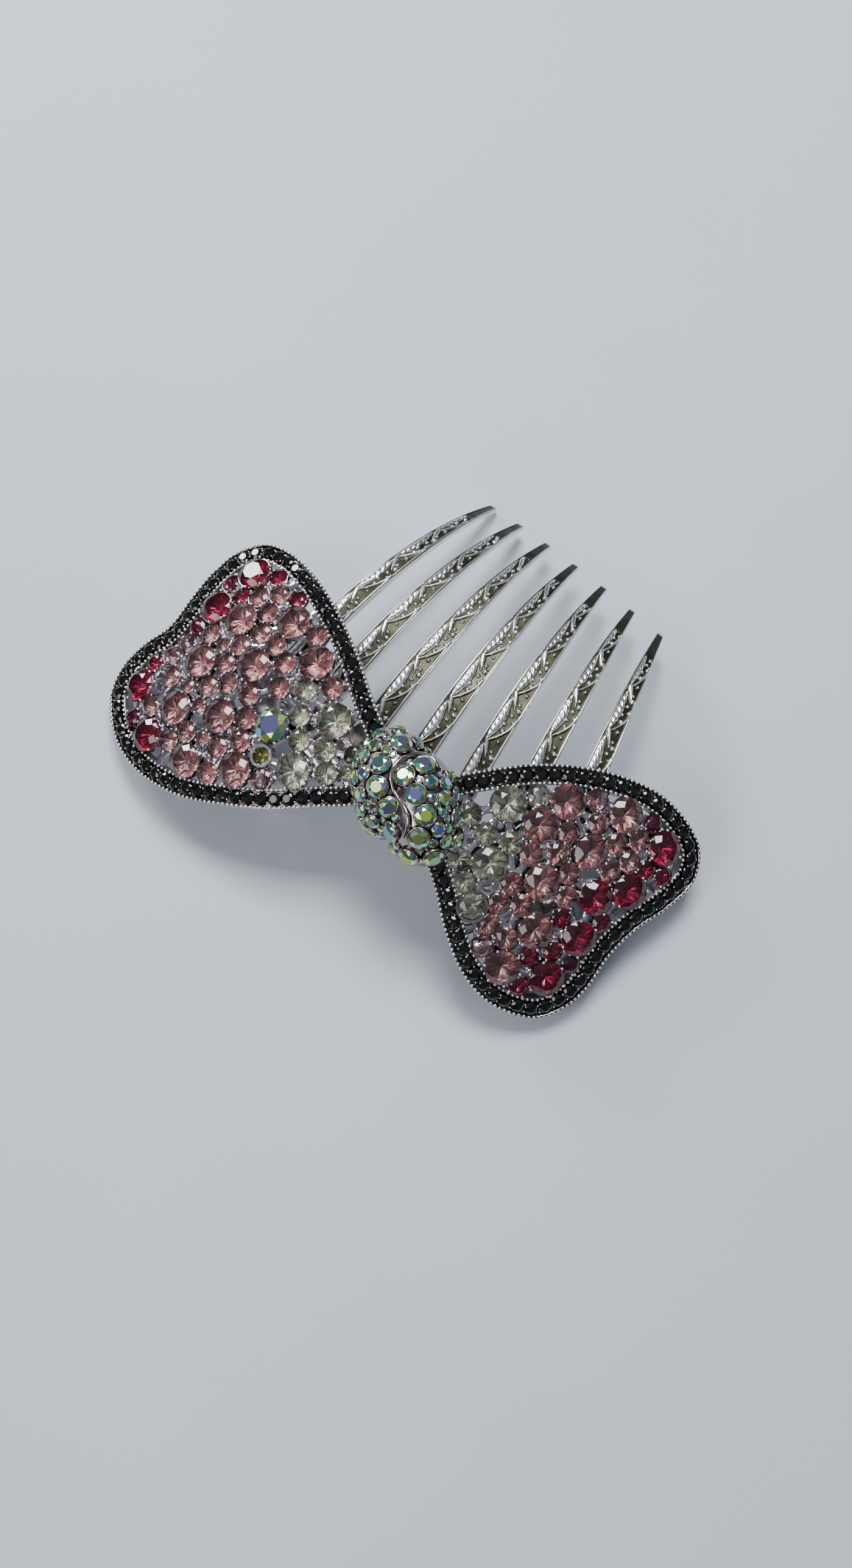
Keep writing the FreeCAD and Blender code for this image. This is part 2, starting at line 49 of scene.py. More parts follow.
# ---- The comb's own measures, as in the CAD part -----------------------------------------

DOME_RADIUS = 75.0
BOW_TILT, BOW_ROLL = 12.0, 2.4
COMB_PITCH, COMB_SHIFT = 4.2, 1.2
COMB_ARCH, COMB_CROSS, COMB_CREST, COMB_DROP = 42.5, 90.0, 13.6, 3.0
TOOTH_COUNT = 7
TOOTH_ROOT_Y, TOOTH_TIP_Y, TOOTH_TIP_STEP = 4.5, 42.4, -0.62
TOOTH_ROOT_SPAN, TOOTH_TIP_SPAN = 45.4, 31.3
TOOTH_BOW, TOOTH_BELLY = -0.25, 0.3
TOOTH_ROOT_WIDTH, TOOTH_TIP_WIDTH = 3.3, 1.0
RIM_WIDTH, RIM_DEPTH = 2.7, 1.1
NECK_MIDDLE, NECK_HIDDEN = 3.2, 3.6
RIGHT_OUTLINE = [
    (5.6, 2.2), (7.0, 5.0), (9.9, 8.2), (14.3, 12.3), (19.4, 15.7), (25.2, 18.2), (30.5, 19.1),
    (35.6, 18.1), (38.9, 16.0), (40.5, 12.0), (39.6, 7.0), (37.9, 2.6), (36.9, -2.5), (37.0, -7.5),
    (36.2, -11.2), (33.9, -14.8), (30.2, -16.5), (26.0, -16.8), (21.5, -15.3), (17.0, -12.2),
    (12.8, -8.4), (9.4, -6.0), (6.0, -4.4),
]
LEFT_OUTLINE = [
    (1.0, -2.8), (-1.0, -6.0), (-5.4, -9.4), (-10.0, -12.9), (-15.5, -16.0), (-21.5, -18.7),
    (-27.5, -19.7), (-33.0, -19.1), (-37.7, -16.7), (-40.8, -13.2), (-41.6, -9.0), (-40.6, -4.8),
    (-38.6, -0.6), (-38.5, 4.0), (-38.3, 8.5), (-37.0, 13.3), (-33.8, 16.6), (-29.0, 17.3),
    (-23.6, 16.2), (-18.0, 13.9), (-12.5, 10.9), (-7.5, 7.4), (-3.6, 5.0), (-0.2, 3.0),
]


def turn(axis, degrees):
    return np.array(Matrix.Rotation(math.radians(degrees), 3, axis))


BOW_TURN = turn("Y", BOW_ROLL) @ turn("X", BOW_TILT)
COMB_TURN = turn("X", COMB_PITCH)

# ---- Reading the frame ---------------------------------------------------------------------


def corner_points(obj):
    """Corner points of a node in millimetres, and for each the number of the loose part it is on."""
    mesh = obj.data
    flat = np.empty(len(mesh.vertices) * 3)
    mesh.vertices.foreach_get("co", flat)
    points = flat.reshape(-1, 3) * 1000.0
    shared, merged = np.unique(np.round(points, 3), axis=0, return_inverse=True)
    merged = merged.ravel()
    parent = list(range(len(shared)))

    def root(i):
        while parent[i] != i:
            parent[i] = parent[parent[i]]
            i = parent[i]
        return i

    for face in mesh.polygons:
        first = root(merged[face.vertices[0]])
        for corner in face.vertices[1:]:
            parent[root(merged[corner])] = first
    return shared, np.array([root(i) for i in range(len(shared))])


def read_stones(name, pivot):
    """Seat centre, outward axis and radius of every stone of a node."""
    points, parts = corner_points(nodes[name])
    stones = []
    for part in sorted(set(parts)):
        own = points[parts == part]
        centre = (own.min(0) + own.max(0)) / 2
        for _ in range(2):
            axis = np.linalg.eigh(np.cov((own - centre).T))[1][:, 0]
            if axis @ (centre - pivot) < 0:
                axis = -axis
            along = (own - centre) @ axis
            seat = own[along < along.min() + 0.02]
            centre = seat.mean(0)
        across = own - centre - np.outer((own - centre) @ axis, axis)
        stones.append((centre, axis, np.linalg.norm(across, axis=1).max()))
    stones.sort(key=lambda s: (round(s[0][0], 2), round(s[0][1], 2)))
    return stones


WING_STONE_NODES = sorted(n for n in nodes if n.endswith("_stones") and "rim" not in n)
rough_pivot = np.array([0.0, 0.0, -60.0])
wing_stones = {name: read_stones(name, rough_pivot) for name in WING_STONE_NODES}
seats = np.array([s[0] for stones in wing_stones.values() for s in stones])
fit = np.linalg.lstsq(np.c_[2 * seats, np.ones(len(seats))], (seats ** 2).sum(1), rcond=None)[0]
dome_centre = fit[:3]
crown = dome_centre + BOW_TURN @ np.array([0.0, 0.0, DOME_RADIUS])


def on_dome(x, y, lift):
    """Points in the world for bow coordinates, raised from the bow's round surface by lift."""
    x, y, lift = np.broadcast_arrays(x, y, lift)
    height = np.sqrt(DOME_RADIUS ** 2 - x ** 2 - y ** 2)
    local = np.stack([x, y, height], -1)
    local = local * (1 + lift / DOME_RADIUS)[..., None]
    local[..., 2] -= DOME_RADIUS
    return crown + local @ BOW_TURN.T


def in_bow(point):
    return BOW_TURN.T @ (np.asarray(point) - crown)


def on_comb(x, y, lift):
    """Points in the world on the comb's arched upper face, raised by lift."""
    x, y, lift = np.broadcast_arrays(x, y, lift)
    ring = np.sqrt(COMB_ARCH ** 2 - (y - COMB_CREST) ** 2)
    reach = ring + COMB_CROSS - COMB_ARCH
    side = x - COMB_SHIFT
    z = np.sqrt(reach ** 2 - side ** 2)
    centre_z = -COMB_CROSS - COMB_DROP
    tube = (COMB_CROSS - COMB_ARCH) / reach
    core = np.stack([COMB_SHIFT + side * tube, np.full_like(x, COMB_CREST), centre_z + z * tube], -1)
    skin = np.stack([x, y, centre_z + z], -1)
    normal = (skin - core) / COMB_ARCH
    return crown + (skin + normal * lift[..., None]) @ COMB_TURN.T


# ---- Meshes --------------------------------------------------------------------------------


class Builder:
    """Collects pieces of mesh and makes one object of them."""

    def __init__(self):
        self.points = []
        self.faces = []
        self.slots = []
        self.count = 0

    def add(self, points, faces, slots=0):
        points = np.asarray(points, float).reshape(-1, 3)
        self.points.append(points)
        self.faces.extend(tuple(i + self.count for i in face) for face in faces)
        self.slots.extend([slots] * len(faces) if isinstance(slots, int) else slots)
        self.count += len(points)

    def make(self, name, materials, smooth=False, replaced=()):
        mesh = bpy.data.meshes.new(name)
        points = np.concatenate(self.points) / 1000.0
        mesh.from_pydata(points.tolist(), [], self.faces)
        for material in materials:
            mesh.materials.append(material)
        mesh.polygons.foreach_set("material_index", self.slots)
        mesh.polygons.foreach_set("use_smooth", [smooth] * len(self.faces))
        mesh.update()
        obj = bpy.data.objects.new(name, mesh)
        bpy.context.scene.collection.objects.link(obj)
        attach(obj, "root")
        if replaced:
            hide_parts(*replaced)
        return obj


def ring_faces(rows, columns, close_rows=False):
    """Faces of a tube of rows, each a closed ring of columns points."""
    faces = []
    last = rows if close_rows else rows - 1
    for i in range(last):
        for j in range(columns):
            a, b = i * columns + j, i * columns + (j + 1) % columns
            c, d = ((i + 1) % rows) * columns + j, ((i + 1) % rows) * columns + (j + 1) % columns
            faces.append((a, b, d, c))
    return faces


def axes_for(axis, spin=0.0):
    """Two directions square to axis, and axis itself, as columns."""
    side = np.cross([0.0, 1.0, 0.3], axis)
    side /= np.linalg.norm(side)
    ahead = np.cross(axis, side)
    c, s = math.cos(spin), math.sin(spin)
    return np.stack([side * c + ahead * s, ahead * c - side * s, axis], 1)


def ball(builder, centre, radius, rings=6, sides=10, flat=1.0, axis=None):
    """A small round bead, squashed along its axis by flat."""
    points = [(0.0, 0.0, radius * flat)]
    for i in range(1, rings):
        tilt = math.pi * i / rings
        for j in range(sides):
            angle = 2 * math.pi * j / sides
            across = radius * math.sin(tilt)
            height = radius * flat * math.cos(tilt)
            points.append((across * math.cos(angle), across * math.sin(angle), height))
    points.append((0.0, 0.0, -radius * flat))
    faces = [(0, 1 + j, 1 + (j + 1) % sides) for j in range(sides)]
    for i in range(rings - 2):
        for j in range(sides):
            a, b = 1 + i * sides + j, 1 + i * sides + (j + 1) % sides
            faces.append((a, a + sides, b + sides, b))
    end = len(points) - 1
    low = end - sides
    faces += [(end, low + (j + 1) % sides, low + j) for j in range(sides)]
    basis = axes_for(np.array([0.0, 0.0, 1.0]) if axis is None else axis)
    builder.add(centre + np.array(points) @ basis.T, faces)


def lathe(builder, centre, axis, profile, sides=24):
    """A closed ring with the given (radius, height) profile round an axis."""
    basis = axes_for(axis)
    angles = np.linspace(0, 2 * math.pi, sides, endpoint=False)
    rows = [
        np.stack([r * np.cos(angles), r * np.sin(angles), np.full(sides, h)], -1) for r, h in profile
    ]
    builder.add(centre + np.concatenate(rows) @ basis.T, ring_faces(len(profile), sides, True))


# ---- Materials -----------------------------------------------------------------------------


def new_material(name):
    material = bpy.data.materials.new(name)
    material.use_nodes = True
    tree = material.node_tree
    tree.nodes.clear()
    shader = tree.nodes.new("ShaderNodeBsdfPrincipled")
    output = tree.nodes.new("ShaderNodeOutputMaterial")
    tree.links.new(shader.outputs["BSDF"], output.inputs["Surface"])
    return material, tree, shader


def noise(tree, scale, detail=3.0, roughness=0.55):
    place = tree.nodes.new("ShaderNodeTexCoord")
    texture = tree.nodes.new("ShaderNodeTexNoise")
    texture.inputs["Scale"].default_value = scale
    texture.inputs["Detail"].default_value = detail
    texture.inputs["Roughness"].default_value = roughness
    tree.links.new(place.outputs["Object"], texture.inputs["Vector"])
    return texture.outputs["Fac"]


def ramp(tree, source, stops):
    node = tree.nodes.new("ShaderNodeValToRGB")
    elements = node.color_ramp.elements
    while len(elements) < len(stops):
        elements.new(0.5)
    for element, (place, colour) in zip(elements, stops):
        element.position = place
        element.color = (*colour, 1.0) if len(colour) == 3 else colour
    tree.links.new(source, node.inputs["Fac"])
    return node.outputs["Color"]


def span(tree, source, low, high, start=0.0, end=1.0):
    node = tree.nodes.new("ShaderNodeMapRange")
    node.inputs["From Min"].default_value = start
    node.inputs["From Max"].default_value = end
    node.inputs["To Min"].default_value = low
    node.inputs["To Max"].default_value = high
    tree.links.new(source, node.inputs["Value"])
    return node.outputs["Result"]


def blend_colours(tree, factor, first, second, kind="MIX"):
    node = tree.nodes.new("ShaderNodeMix")
    node.data_type = "RGBA"
    node.blend_type = kind
    for socket, value in ((node.inputs[0], factor), (node.inputs[6], first), (node.inputs[7], second)):
        if isinstance(value, bpy.types.NodeSocket):
            tree.links.new(value, socket)
        elif isinstance(value, tuple):
            socket.default_value = (*value, 1.0)
        else:
            socket.default_value = value
    return node.outputs[2]


def bump(tree, shader, height, strength, distance):
    node = tree.nodes.new("ShaderNodeBump")
    node.inputs["Strength"].default_value = strength
    node.inputs["Distance"].default_value = distance
    tree.links.new(height, node.inputs["Height"])
    tree.links.new(node.outputs["Normal"], shader.inputs["Normal"])


def recess(tree, distance):
    """Near 0 deep in a crevice and 1 on open faces; it places painted shade."""
    node = tree.nodes.new("ShaderNodeAmbientOcclusion")
    node.samples = 8
    node.only_local = False
    node.inputs["Distance"].default_value = distance
    return node.outputs["AO"]


def plated(name, bright, dull, recess_shade_colour, depth=0.0008):
    """Polished plated metal, duller in patches, with painted shade darkening its recesses, and finely
    scratched.
    """
    material, tree, shader = new_material(name)
    shader.inputs["Metallic"].default_value = 1.0
    patches = noise(tree, 420.0)
    colour = ramp(tree, patches, [(0.36, dull), (0.62, bright)])
    # Painted shade: the ambient-occlusion mask blends the dark recess colour into every crevice.
    open_face = span(tree, recess(tree, depth), 0.0, 1.0, 0.12, 0.62)
    tree.links.new(blend_colours(tree, open_face, recess_shade_colour, colour), shader.inputs["Base Color"])
    fine = noise(tree, 2600.0, 4.0, 0.65)
    tree.links.new(span(tree, fine, 0.09, 0.27, 0.3, 0.75), shader.inputs["Roughness"])
    bump(tree, shader, noise(tree, 900.0, 4.0, 0.6), 0.35, 0.00012)
    return material


def clear_body(name, tint):
    """The glass of a cut stone, with faint variation from stone to stone."""
    material, tree, shader = new_material(name)
    island = tree.nodes.new("ShaderNodeNewGeometry").outputs["Random Per Island"]
    shade = tuple(c * 0.86 for c in tint)
    tree.links.new(ramp(tree, island, [(0.0, shade), (1.0, tint)]), shader.inputs["Base Color"])
    shader.inputs["Transmission Weight"].default_value = 1.0
    shader.inputs["IOR"].default_value = 1.58
    shader.inputs["Specular IOR Level"].default_value = 0.8
    tree.links.new(span(tree, noise(tree, 1500.0), 0.0, 0.05), shader.inputs["Roughness"])
    return material


def foil(name, colours, sharp=1.0, metal=1.0, rough=0.20):
    """The mirror foil behind a stone, with painted reflections: each facet takes a light or dark shade by
    the way it faces.
    """
    material, tree, shader = new_material(name)
    geometry = tree.nodes.new("ShaderNodeNewGeometry")
    facing = tree.nodes.new("ShaderNodeVectorMath")
    facing.operation = "DOT_PRODUCT"
    facing.inputs[1].default_value = (2.3 * sharp, 3.1 * sharp, 0.7)
    tree.links.new(geometry.outputs["True Normal"], facing.inputs[0])
    mixed = tree.nodes.new("ShaderNodeMath")
    mixed.operation = "ADD"
    tree.links.new(facing.outputs["Value"], mixed.inputs[0])
    spread = tree.nodes.new("ShaderNodeMath")
    spread.operation = "MULTIPLY"
    spread.inputs[1].default_value = 3.0
    tree.links.new(geometry.outputs["Random Per Island"], spread.inputs[0])
    tree.links.new(spread.outputs[0], mixed.inputs[1])
    wrapped = tree.nodes.new("ShaderNodeMath")
    wrapped.operation = "FRACT"
    tree.links.new(mixed.outputs[0], wrapped.inputs[0])
    # Painted reflections: the ramp's light and dark stops fall on facets by their facing and by stone.
    stops = [(i / (len(colours) - 1), colour) for i, colour in enumerate(colours)]
    tree.links.new(ramp(tree, wrapped.outputs[0], stops), shader.inputs["Base Color"])
    shader.inputs["Metallic"].default_value = metal
    shader.inputs["Coat Weight"].default_value = 1.0 - metal
    tree.links.new(span(tree, noise(tree, 2200.0), rough, rough + 0.1), shader.inputs["Roughness"])
    return material


# The third colour of each metal is the painted shade laid into its recesses.
SILVER = plated("bow_cast_silver", (0.66, 0.60, 0.64), (0.42, 0.36, 0.40), (0.07, 0.05, 0.05))
RAIL_SILVER = plated("rim_rail_silver", (0.30, 0.27, 0.27), (0.16, 0.14, 0.14), (0.03, 0.025, 0.025))
KNOT_SILVER = plated("knot_cast_silver", (0.52, 0.44, 0.44), (0.30, 0.24, 0.24), (0.04, 0.03, 0.03))
BRASS = plated("prong_brass", (0.80, 0.72, 0.42), (0.55, 0.48, 0.26), (0.10, 0.08, 0.04), 0.0003)
COMB_SILVER = plated("comb_silver", (0.88, 0.87, 0.82), (0.66, 0.64, 0.58), (0.16, 0.15, 0.12))
BEAD_SILVER = plated("bead_silver", (0.92, 0.91, 0.90), (0.72, 0.70, 0.70), (0.12, 0.10, 0.10), 0.0004)
SOLDER = plated("solder_grey", (0.62, 0.61, 0.60), (0.42, 0.41, 0.40), (0.18, 0.17, 0.16))

# The aurora coating's own rainbow colours, fixed facet by facet as painted reflections.
RAINBOW = [
    (0.24, 0.28, 0.12), (0.70, 0.86, 0.18), (0.22, 0.26, 0.13), (0.20, 0.90, 0.62), (0.15, 0.22, 0.15),
    (0.20, 0.62, 0.88), (0.34, 0.38, 0.18), (0.36, 0.32, 0.86), (0.22, 0.26, 0.16), (0.86, 0.95, 0.28),
    (0.10, 0.32, 0.30), (0.24, 0.28, 0.12),
]
# For each kind of stone, the tint of its glass and the light and dark tones of the foil behind it, painted
# reflections of its facets.
STONE_LOOKS = {
    "clear": (
        (0.88, 0.88, 0.80), [(0.50, 0.49, 0.42), (0.88, 0.87, 0.78), (0.26, 0.26, 0.22), (0.68, 0.67, 0.58)],
    ),
    "peach": (
        (0.84, 0.64, 0.63), [(0.44, 0.30, 0.30), (0.80, 0.59, 0.58), (0.27, 0.17, 0.17), (0.58, 0.41, 0.40)],
    ),
    "red": (
        (0.46, 0.07, 0.17), [(0.58, 0.20, 0.32), (0.80, 0.38, 0.50), (0.30, 0.07, 0.13), (0.62, 0.24, 0.36)],
    ),
    "olive": ((0.60, 0.57, 0.34), [(0.42, 0.40, 0.22), (0.66, 0.62, 0.38), (0.22, 0.22, 0.12)]),
    "jet": ((0.05, 0.05, 0.055), [(0.16, 0.17, 0.12), (0.08, 0.08, 0.08), (0.22, 0.22, 0.18)]),
}
GLASS = {
    look: [clear_body(look + "_glass", tint), foil(look + "_foil", painted_facet_tones)]
    for look, (tint, painted_facet_tones) in STONE_LOOKS.items()
}
# Aurora crown and foil both carry the rainbow as painted reflections.
GLASS["aurora"] = [foil("aurora_coating", RAINBOW, 1.7, 0.9, 0.05), foil("aurora_foil", RAINBOW)]

# ---- Cut stones ----------------------------------------------------------------------------


def cut_stone(radius, back):
    """Corners and faces of a round cut stone; slot 0 is its cut top and slot 1 its foiled back."""
    points = []
    for count, share, height, shift in (
        (8, 0.56, 0.74, 0.0), (8, 0.80, 0.63, 0.5), (16, 1.0, 0.47, 0.0), (16, 1.0, 0.38, 0.0),
        (8, 0.42, 0.38 - (0.38 - back) * 0.66, 0.5),
    ):
        for j in range(count):
            angle = 2 * math.pi * (j + shift) / count
            across = radius * share
            points.append((across * math.cos(angle), across * math.sin(angle), radius * height))
    points.append((0.0, 0.0, radius * back))
    table, crown_, girdle, under, mid, point = 0, 8, 16, 32, 48, 56
    faces = [tuple(range(8))]
    slots = [0]
    for k in range(8):
        after, before = (k + 1) % 8, (k - 1) % 8
        g0, g1, g2 = 2 * k, 2 * k + 1, (2 * k + 2) % 16
        faces.append((table + after, table + k, crown_ + k))
        faces.append((table + k, crown_ + before, girdle + g0, crown_ + k))
        faces.append((crown_ + k, girdle + g0, girdle + g1))
        faces.append((crown_ + k, girdle + g1, girdle + g2))
        slots += [0] * 4
        faces.append((point, mid + k, under + g0, mid + before))
        faces.append((mid + k, under + g1, under + g0))
        faces.append((mid + k, under + g2, under + g1))
        slots += [1] * 3
    for j in range(16):
        after = (j + 1) % 16
        faces.append((girdle + j, under + j, under + after, girdle + after))
        slots.append(0)
    return np.array(points), faces, slots


def set_stones(name, look, stones, back, replaced):
    builder = Builder()
    for centre, axis, radius in stones:
        points, faces, slots = cut_stone(radius, back)
        lean = axis + 0.05 * np.array([random.uniform(-1, 1) for _ in range(3)])
        lean /= np.linalg.norm(lean)
        basis = axes_for(lean, random.uniform(0, math.pi / 4))
        builder.add(centre + points @ basis.T, faces, slots)
    return builder.make(name, GLASS[look], replaced=replaced)


# ---- Wing castings ---------------------------------------------------------------------------


OUTLINE_INSET = 0.30


def smooth_outline(outline, count=720):
    """Evenly spaced points round the outline with, for each, the direction into the wing."""
    corners = np.array(outline)
    dense = []
    for i in range(len(corners)):
        p0, p1, p2, p3 = (corners[(i + k - 1) % len(corners)] for k in range(4))
        steps = [0.0]
        for a, b in ((p0, p1), (p1, p2), (p2, p3)):
            steps.append(steps[-1] + math.sqrt(np.linalg.norm(b - a)))
        t0, t1, t2, t3 = steps
        for t in np.linspace(t1, t2, 24, endpoint=False):
            a1 = p0 * (t1 - t) / (t1 - t0) + p1 * (t - t0) / (t1 - t0)
            a2 = p1 * (t2 - t) / (t2 - t1) + p2 * (t - t1) / (t2 - t1)
            a3 = p2 * (t3 - t) / (t3 - t2) + p3 * (t - t2) / (t3 - t2)
            b1 = a1 * (t2 - t) / (t2 - t0) + a2 * (t - t0) / (t2 - t0)
            b2 = a2 * (t3 - t) / (t3 - t1) + a3 * (t - t1) / (t3 - t1)
            dense.append(b1 * (t2 - t) / (t2 - t1) + b2 * (t - t1) / (t2 - t1))
    dense = np.array(dense)
    closed = np.vstack([dense, dense[:1]])
    travelled = np.r_[0, np.cumsum(np.linalg.norm(np.diff(closed, axis=0), axis=1))]
    places = np.linspace(0, travelled[-1], count, endpoint=False)
    line = np.stack([np.interp(places, travelled, closed[:, k]) for k in range(2)], -1)
    along = np.roll(line, -1, 0) - np.roll(line, 1, 0)
    along /= np.linalg.norm(along, axis=1)[:, None]
    area = (line[:, 0] * np.roll(line[:, 1], -1) - line[:, 1] * np.roll(line[:, 0], -1)).sum()
    inward = np.stack([-along[:, 1], along[:, 0]], -1) * (1 if area > 0 else -1)
    return line + inward * OUTLINE_INSET, inward


RIM_PROFILE = [
    (0.02, -RIM_DEPTH), (0.02, 0.42), (0.08, 0.50), (0.28, 0.50), (0.34, 0.42), (0.36, 0.06),
    (RIM_WIDTH - 0.36, 0.06), (RIM_WIDTH - 0.34, 0.42), (RIM_WIDTH - 0.28, 0.50),
    (RIM_WIDTH - 0.08, 0.50), (RIM_WIDTH - 0.02, 0.42), (RIM_WIDTH - 0.02, -RIM_DEPTH),
]


def rim_casting(builder, line, inward):
    rows = [
        on_dome(line[:, 0] + inward[:, 0] * d, line[:, 1] + inward[:, 1] * d, h) for d, h in RIM_PROFILE
    ]
    builder.add(np.concatenate(rows), ring_faces(len(rows), len(line), True), 1)


def milgrain(builder, line, inward, inset, spacing=0.66):
    """A row of tiny beads along the rim, set in from its outline."""
    path = line + inward * inset
    closed = np.vstack([path, path[:1]])
    travelled = np.r_[0, np.cumsum(np.linalg.norm(np.diff(closed, axis=0), axis=1))]
    count = int(travelled[-1] / spacing)
    places = np.linspace(0, travelled[-1], count, endpoint=False)
    for k, place in enumerate(places):
        x, y = (np.interp(place, travelled, closed[:, axis]) for axis in range(2))
        radius = 0.235 * (1 + 0.08 * math.sin(k * 2.4))
        spot = on_dome(x, y, 0.52)
        outward = (spot - dome_centre) / np.linalg.norm(spot - dome_centre)
        ball(builder, spot, radius, 6, 8, 0.85, outward)


def cup(builder, centre, axis, radius, foot):
    """The cup under a stone: a thin wall round its girdle that narrows below."""
    profile = [
        (radius + 0.02, 0.30 * radius), (radius + 0.03, 0.40 * radius), (radius + 0.07, 0.40 * radius),
        (radius + 0.11, 0.28 * radius), (radius + 0.06, -0.1), (radius * 0.8, foot), (radius * 0.34, foot),
        (radius * 0.30, foot + 0.1),
    ]
    lathe(builder, centre, axis, profile)


def web(builder, start, end, up, width, top, foot):
    """A cast bar from start to end with a rounded top."""
    along = end - start
    length = np.linalg.norm(along)
    along = along / length
    side = np.cross(up, along)
    side /= np.linalg.norm(side)
    section = [
        (-0.5, foot), (-0.5, top - 0.22), (-0.34, top - 0.06), (0.0, top), (0.34, top - 0.06),
        (0.5, top - 0.22), (0.5, foot),
    ]
    rows = []
    for share, wide in ((0.0, 1.35), (0.25, 1.0), (0.5, 0.88), (0.75, 1.0), (1.0, 1.35)):
        spot = start + along * (length * share)
        rows.append(np.array([spot + side * (a * width * wide) + up * h for a, h in section]))
    faces = ring_faces(len(rows), len(section))
    faces += [tuple(range(len(section)))[::-1], tuple(4 * len(section) + i for i in range(len(section)))]
    builder.add(np.concatenate(rows), faces)


def wing_casting(side, outline):
    line, inward = smooth_outline(outline)
    body = Builder()
    rim_casting(body, line, inward)
    stones = [s for name, group in wing_stones.items() if name.startswith(side) for s in group]
    inner = line + inward * (RIM_WIDTH - 0.1)
    for centre, axis, radius in stones:
        cup(body, centre, axis, radius, -0.95)
    beads = Builder()
    for i, (centre, axis, radius) in enumerate(stones):
        gaps = sorted(
            (np.linalg.norm(centre - other[0]) - radius - other[2], j)
            for j, other in enumerate(stones) if j != i
        )
        for gap, j in gaps[:6]:
            if gap > 3.4 or (gap > 0.9 and j < i):
                continue
            other = stones[j]
            along = (other[0] - centre) / np.linalg.norm(other[0] - centre)
            crossed = any(
                np.linalg.norm(np.cross(third[0] - centre, along)) < third[2] * 0.7
                and 0 < (third[0] - centre) @ along < np.linalg.norm(other[0] - centre)
                for k, third in enumerate(stones) if k not in (i, j)
            )
            if crossed:
                continue
            start = centre + along * radius * 0.9
            end = other[0] - along * other[2] * 0.9
            width = 1.5 if gap < 0.9 else 1.15
            web(body, start, end, axis, width, 0.12 + 0.25 * min(radius, other[2]), -0.9)
        flat = in_bow(centre)
        reach = np.linalg.norm(inner - flat[:2], axis=1)
        near = int(reach.argmin())
        if reach[near] - radius < 3.2:
            target = on_dome(inner[near, 0], inner[near, 1], 0.0)
            along = (target - centre) / np.linalg.norm(target - centre)
            web(body, centre + along * radius * 0.9, target + along * 0.2, axis, 1.4, 0.35, -0.9)
        basis = axes_for(axis, random.uniform(0, 1.5))
        claws = 6 if radius > 2 else 4
        for k in range(claws):
            angle = 2 * math.pi * (k + random.uniform(-0.15, 0.15)) / claws
            spot = centre + basis @ np.array(
                [(radius + 0.10) * math.cos(angle), (radius + 0.10) * math.sin(angle), 0.50 * radius]
            )
            ball(beads, spot, 0.15 + 0.03 * radius, 5, 8, 0.9, axis)
    milgrain(beads, line, inward, 0.22)
    milgrain(beads, line, inward, RIM_WIDTH - 0.22)
    body.make(side + "_wing_casting", [SILVER, RAIL_SILVER], replaced=[side + "_wing"])
    beads.make(side + "_wing_beads", [BEAD_SILVER], smooth=True)


FILLER_LEAST, FILLER_MOST, FILLER_GAP = 1.02, 1.35, 0.06
FILLER_LIFT = float(np.mean([np.linalg.norm(s - dome_centre) for s in seats])) - DOME_RADIUS
KNOT_REACH = 7.5
RED_ZONE, RED_REACH = 31, 2.6
extra_stones = {}


def fill_gaps(side, outline):
    """Small extra stones in the wider gaps of a wing, each in the colour of its nearest neighbour."""
    line, inward = smooth_outline(outline)
    groups = [(name, s) for name, group in wing_stones.items() if name.startswith(side) for s in group]
    names = [name for name, _ in groups]
    placed = [(in_bow(s[0])[:2], s[2]) for _, s in groups]
    grid = np.stack(np.meshgrid(np.arange(-42, 42, 0.4), np.arange(-21, 21, 0.4)), -1).reshape(-1, 2)
    gaps = np.linalg.norm(grid[:, None] - line[None], axis=2)
    near = gaps.argmin(1)
    inside = ((grid - line[near]) * inward[near]).sum(1) > RIM_WIDTH
    clear = inside & (np.abs(grid[:, 0] - NECK_MIDDLE) > KNOT_REACH)
    grid, reach = grid[clear], gaps[clear].min(1) - RIM_WIDTH
    while True:
        centres = np.array([spot for spot, _ in placed])
        radii = np.array([radius for _, radius in placed])
        rooms = np.linalg.norm(grid[:, None] - centres[None], axis=2) - radii
        room = np.minimum(rooms.min(1), reach)
        widest = int(room.argmax())
        if room[widest] < FILLER_LEAST:
            return
        spot = grid[widest]
        radius = min(room[widest] - FILLER_GAP, FILLER_MOST)
        name = names[int(rooms[widest].argmin())]
        if abs(spot[0]) > RED_ZONE and reach[widest] < RED_REACH:
            name = side + "_red_stones"
        elif "aurora" in name or "olive" in name:
            name = side + "_peach_stones"
        seat = on_dome(spot[0], spot[1], FILLER_LIFT)
        axis = (seat - dome_centre) / np.linalg.norm(seat - dome_centre)
        extra_stones.setdefault(name, []).append((seat, axis, radius))
        names.append(name)
        placed.append((spot, radius))


fill_gaps("left", LEFT_OUTLINE)
fill_gaps("right", RIGHT_OUTLINE)
for name, stones in extra_stones.items():
    wing_stones.setdefault(name, []).extend(stones)
wing_casting("left", LEFT_OUTLINE)
wing_casting("right", RIGHT_OUTLINE)
for name, stones in wing_stones.items():
    look = name.split("_")[1]
    set_stones(name.replace("_stones", "_cut"), look, stones, -0.34, [name])
JET_RADIUS, JET_PITCH = 0.93, 1.86


